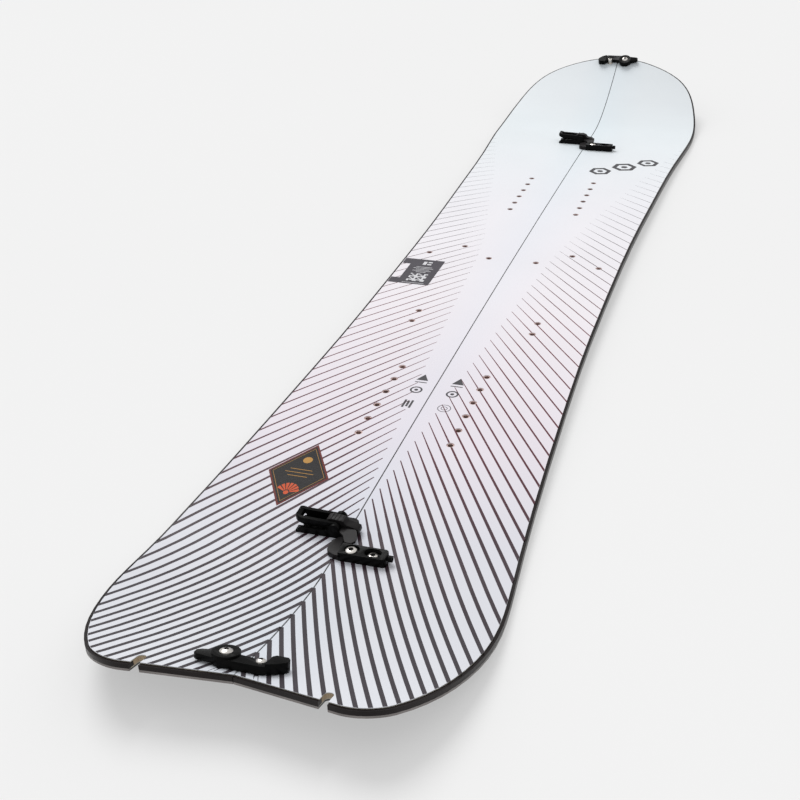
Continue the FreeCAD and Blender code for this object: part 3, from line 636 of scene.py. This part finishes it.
def make_info_sticker():
    """Grey data label on the left ski, with bars in place of its small print."""
    body = "left_ski"
    draped("info_panel", [INFO_PANEL], STICKER_LIFT, STICKER_GREY, body)
    white = [rectangle(-97.5, -24.5, 4.0, 9.0)]
    white += [rectangle(-91.5, y, 5.0, 3.0) for y in (-21.5, -27.5)]
    white.append(rectangle(-95, -81, 26, 0.8))
    for i, length in enumerate(INFO_BARS):
        white.append(rectangle(-95, -36 - 3.6 * i, length, 0.9))
    size = CODE_SIZE / CODE_CELLS
    for i in range(CODE_CELLS):
        for j in range(CODE_CELLS):
            if (3 * i + 5 * j + i * j) % 4 < 2:
                x, y = CODE_CORNER[0] + size * (i + 0.5), CODE_CORNER[1] + size * (j + 0.5)
                white.append(rectangle(x, y, size * 0.98, size * 0.98))
    draped("info_print", white, STICKER_LIFT + 0.06, STICKER_WHITE, body)


def fan_shapes(x, y):
    """Blades of a plain fan and the dot that they spread from."""
    inner, outer = FAN_RADII
    share = math.pi * FAN_SPREAD / FAN_BLADES
    shapes = []
    for i in range(FAN_BLADES):
        start = math.pi * FAN_FROM + share * i
        end = start + share * FAN_BLADE
        shapes.append([(x + r * math.cos(t), y + FAN_STRETCH * r * math.sin(t)) for r, t in
                       ((inner, start), (outer, start), (outer, end), (inner, end))])
    return shapes + [ellipse(x, y, 2.2, 2.8)]


def make_diamond_sticker():
    """Black diamond with a red border, a gold line and a plain fan-shaped motif."""
    body = "left_ski"
    x, y = DIAMOND_PLACE

    def diamond(scale):
        w, h = DIAMOND_HALF[0] * scale, DIAMOND_HALF[1] * scale
        return [(x - w, y), (x, y - h), (x + w, y), (x, y + h)]

    def outline(outer, inner):
        a, b = diamond(outer), diamond(inner)
        return [[a[i], a[(i + 1) % 4], b[(i + 1) % 4], b[i]] for i in range(4)]

    draped("diamond_border", [diamond(1.0)], STICKER_LIFT, STICKER_RED, body)
    draped("diamond_face", [diamond(0.93)], STICKER_LIFT + LAYER_LIFT, STICKER_BLACK, body)
    gold = outline(0.86, 0.845) + [ellipse(x, y + 22, 4.2, 4.8)]
    for i, length in enumerate(DIAMOND_BARS):
        gold.append(rectangle(x, y + 7 - 5.0 * i, length, 0.7))
    draped("diamond_line", gold, STICKER_LIFT + 2 * LAYER_LIFT, STICKER_GOLD, body)
    draped("diamond_fan", fan_shapes(x, y - 28), STICKER_LIFT + 2 * LAYER_LIFT, STICKER_ORANGE, body)


def make_icons():
    """Small plain pictograms beside the seam on each ski."""
    for side, x in ICON_X.items():
        shapes = [[(x - 6, -296), (x + 6, -296), (x, -284)], rectangle(x, -300, 12, 1.4)]
        shapes += ring(x, -315, 6.2, 4.4, 20) + [ellipse(x, -315, 2.0, 2.0, 12)]
        if side == "left":
            shapes += [rectangle(x - 3.4 + 3.4 * i, -342, 2.2, 14 - 4 * (i % 2)) for i in range(3)]
        else:
            shapes += ring(x, -342, 6.5, 5.8, 20) + ring(x, -342, 3.2, 2.6, 16)
        draped(side + "_icons", shapes, PRINT_LIFT, MARK_INK, side + "_ski", MARK_CELL)


def make_mark():
    """Plain ornament on the right ski: three hexagons in a slanting row."""
    shapes = []
    for x, y, size in MARK_HEXAGONS:
        shapes += ring(x, y, size, size * 0.62, 6, HEXAGON_TURN)
        shapes.append(ellipse(x, y, size * 0.28, size * 0.28, 6))
    draped("front_mark", shapes, PRINT_LIFT, MARK_INK, "right_ski", MARK_CELL)


# ---- hardware ------------------------------------------------------------------------------------------
def body_of_nodes():
    """Name of the body that each CAD node belongs to."""
    bodies = frame["record"]["behaviour"]["bodies"]
    return {node: body for body, nodes in bodies.items() for node in nodes}


def soften_edges(node, body, slot):
    """Stands in for a hard piece with its machined edges broken."""
    bm = bmesh.new()
    bm.from_mesh(frame["nodes"][node].data)
    bmesh.ops.remove_doubles(bm, verts=bm.verts, dist=WELD)
    bmesh.ops.dissolve_limit(bm, angle_limit=math.radians(FLAT_ANGLE), verts=bm.verts, edges=bm.edges)
    least = math.radians(SHARP_ANGLE)
    sharp = [e for e in bm.edges if len(e.link_faces) == 2 and e.calc_face_angle() > least]
    bmesh.ops.bevel(bm, geom=sharp, offset=EDGE_BREAK * MM, segments=2, profile=0.5, affect="EDGES",
                    clamp_overlap=True)
    obj = new_object(node + "_worn", bm, FINISHES[slot], body)
    obj.data.shade_smooth()
    obj.data.set_sharp_from_angle(angle=math.radians(SMOOTH_ANGLE))
    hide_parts(node)


def soften_hardware():
    """Breaks the edges of both hooks and of the clips' larger pieces."""
    bodies = body_of_nodes()
    slots = {part["node"]: part["material_slot"] for part in frame["record"]["subparts"]}
    names = [end + "_hook" for end in HOOKS]
    names += [clip + "_" + piece for clip in CLIPS for piece in SOFTENED]
    for node in names:
        soften_edges(node, bodies[node], slots[node])


def joint_named(name):
    return next(joint for joint in frame["record"]["behaviour"]["joints"] if joint["name"] == name)


def clip_seat(clip):
    """Turn and origin of a clip's own axes, square to the deck at the seam."""
    joint = joint_named(clip + "_lever_lift")
    along = Vector(joint["axis"]).normalized()
    across = Vector((1, 0, 0))
    up = across.cross(along)
    origin = Vector(joint["pos_m"])
    for axis, reach in zip((across, along, up), LEVER_HINGE):
        origin -= axis * reach * MM
    return Matrix((across, along, up)).transposed().to_4x4(), origin


def hook_seat(end):
    """The same for a hook, about its pivot."""
    joint = joint_named(end + "_hook_turn")
    up = -Vector(joint["axis"]).normalized()
    across = Vector((1, 0, 0))
    along = up.cross(across)
    origin = Vector(joint["pos_m"]) - up * HOOK_JOINT_Z * MM
    return Matrix((across, along, up)).transposed().to_4x4(), origin


def seated(bm, seat):
    """Takes a mesh from millimetres in a seat's own axes into the frame."""
    turn, origin = seat
    for v in bm.verts:
        v.co = turn @ (v.co * MM) + origin


def add_prism(bm, points, low, high):
    """Upright prism over plan points."""
    rings = [[bm.verts.new((x, y, z)) for x, y in points] for z in (low, high)]
    count = len(points)
    for i in range(count):
        j = (i + 1) % count
        bm.faces.new((rings[0][i], rings[0][j], rings[1][j], rings[1][i]))
    bm.faces.new(rings[0][::-1])
    bm.faces.new(rings[1])


def add_shade_in_sockets(name, seat, body, places):
    """Dark discs of painted shade at the bottoms of hex sockets, each place an x, y, bottom and radius.
    """
    bm = bmesh.new()
    for x, y, low, radius in places:
        add_prism(bm, ellipse(x, y, radius, radius, 6), low, low + SOCKET_SHADE_THICKNESS)
    seated(bm, seat)
    new_object(name, bm, FINISHES["black_screw"], body)


def make_shade_in_sockets():
    """Painted shade in the sockets of the bright screws and studs."""
    for clip in CLIPS:
        # dark discs of painted shade in the sockets of the catch's two screws
        add_shade_in_sockets(clip + "_socket_shade", clip_seat(clip), "right_ski", CATCH_SOCKETS)
    for end, (pivot_body, stud_body) in HOOKS.items():
        seat = hook_seat(end)
        stud_x = -STUD_REACH if end == "nose" else STUD_REACH
        # and painted shade in the sockets of each hook's pivot and stud
        add_shade_in_sockets(end + "_pivot_socket_shade", seat, pivot_body, [(0, 0, *PIVOT_SOCKET)])
        add_shade_in_sockets(end + "_stud_socket_shade", seat, stud_body, [(stud_x, 0, *STUD_SOCKET)])


def make_grips():
    """Ribs where a thumb presses each lever shut."""
    for clip in CLIPS:
        bm = bmesh.new()
        for i in range(GRIP_RIBS):
            x = GRIP_X[0] + (GRIP_X[1] - GRIP_X[0]) * i / (GRIP_RIBS - 1)
            top = between(GRIP_TOP, x)
            add_prism(bm, rectangle(x, GRIP_Y, *GRIP_SIZE), top - GRIP_SINK, top + GRIP_RISE)
        seated(bm, clip_seat(clip))
        new_object(clip + "_grip_ribs", bm, FINISHES["clip_grey"], clip + "_link")


def main():
    finish_nodes()
    make_stripes()
    make_seam_gap_shade()
    make_info_sticker()
    make_diamond_sticker()
    make_icons()
    make_mark()
    soften_hardware()
    make_shade_in_sockets()
    make_grips()


# ---- floor, light and camera --------------------------------------------------------------------------
def make_floor():
    """Pale seamless floor that glows a little, so that it stays even round the shadow."""
    m = Nodes("studio_floor", grey(FLOOR_GREY), 0.9)
    tone = m.blend(m.noise(0.8, detail=1.0), grey(FLOOR_GREY - FLOOR_VARY), grey(FLOOR_GREY + FLOOR_VARY))
    m.link(tone, m.shader.inputs["Base Color"])
    m.set("Specular IOR Level", 0.0)
    m.set("Emission Color", (1, 1, 1, 1))
    m.set("Emission Strength", FLOOR_GLOW)
    bm = bmesh.new()
    bmesh.ops.create_grid(bm, x_segments=8, y_segments=8, size=FLOOR_HALF)
    mesh = bpy.data.meshes.new("floor")
    bm.to_mesh(mesh)
    bm.free()
    mesh.materials.append(m.material)
    floor = bpy.data.objects.new("floor", mesh)
    floor.location.z = -FLOOR_DROP
    bpy.context.scene.collection.objects.link(floor)


def make_world():
    """White overhead and darker towards the horizon, so that steel has something to reflect."""
    world = bpy.data.worlds.new("studio")
    world.use_nodes = True
    tree = world.node_tree
    direction = tree.nodes.new("ShaderNodeTexCoord")
    split = tree.nodes.new("ShaderNodeSeparateXYZ")
    ramp = tree.nodes.new("ShaderNodeValToRGB")
    for element, (position, value) in zip(ramp.color_ramp.elements, WORLD_RAMP):
        element.position = position
        element.color = (*grey(value), 1)
    tree.links.new(direction.outputs["Generated"], split.inputs["Vector"])
    tree.links.new(split.outputs["Z"], ramp.inputs["Fac"])
    background = tree.nodes["Background"]
    tree.links.new(ramp.outputs["Color"], background.inputs["Color"])
    background.inputs["Strength"].default_value = WORLD_STRENGTH
    bpy.context.scene.world = world


def make_lights():
    """The world and one very soft sun from behind."""
    make_world()
    data = bpy.data.lights.new("window", "SUN")
    data.energy = SUN_STRENGTH
    data.angle = math.radians(SUN_ANGLE)
    sun = bpy.data.objects.new("window", data)
    sun.rotation_euler = Vector(SUN_FROM).to_track_quat("Z", "Y").to_euler()
    bpy.context.scene.collection.objects.link(sun)


def make_camera():
    """Camera in front of the tail, to the right of the board."""
    data = bpy.data.cameras.new("camera")
    data.lens = CAMERA_LENS
    data.sensor_width = CAMERA_SENSOR
    data.shift_x = CAMERA_SHIFT_X
    data.clip_start = 0.01
    camera = bpy.data.objects.new("camera", data)
    camera.location = Vector(CAMERA_PLACE) * MM
    camera.rotation_euler = [math.radians(angle) for angle in CAMERA_TURN]
    bpy.context.scene.collection.objects.link(camera)
    bpy.context.scene.camera = camera
    bpy.context.scene.view_settings.view_transform = "Standard"


main()
make_floor()
make_lights()
make_camera()
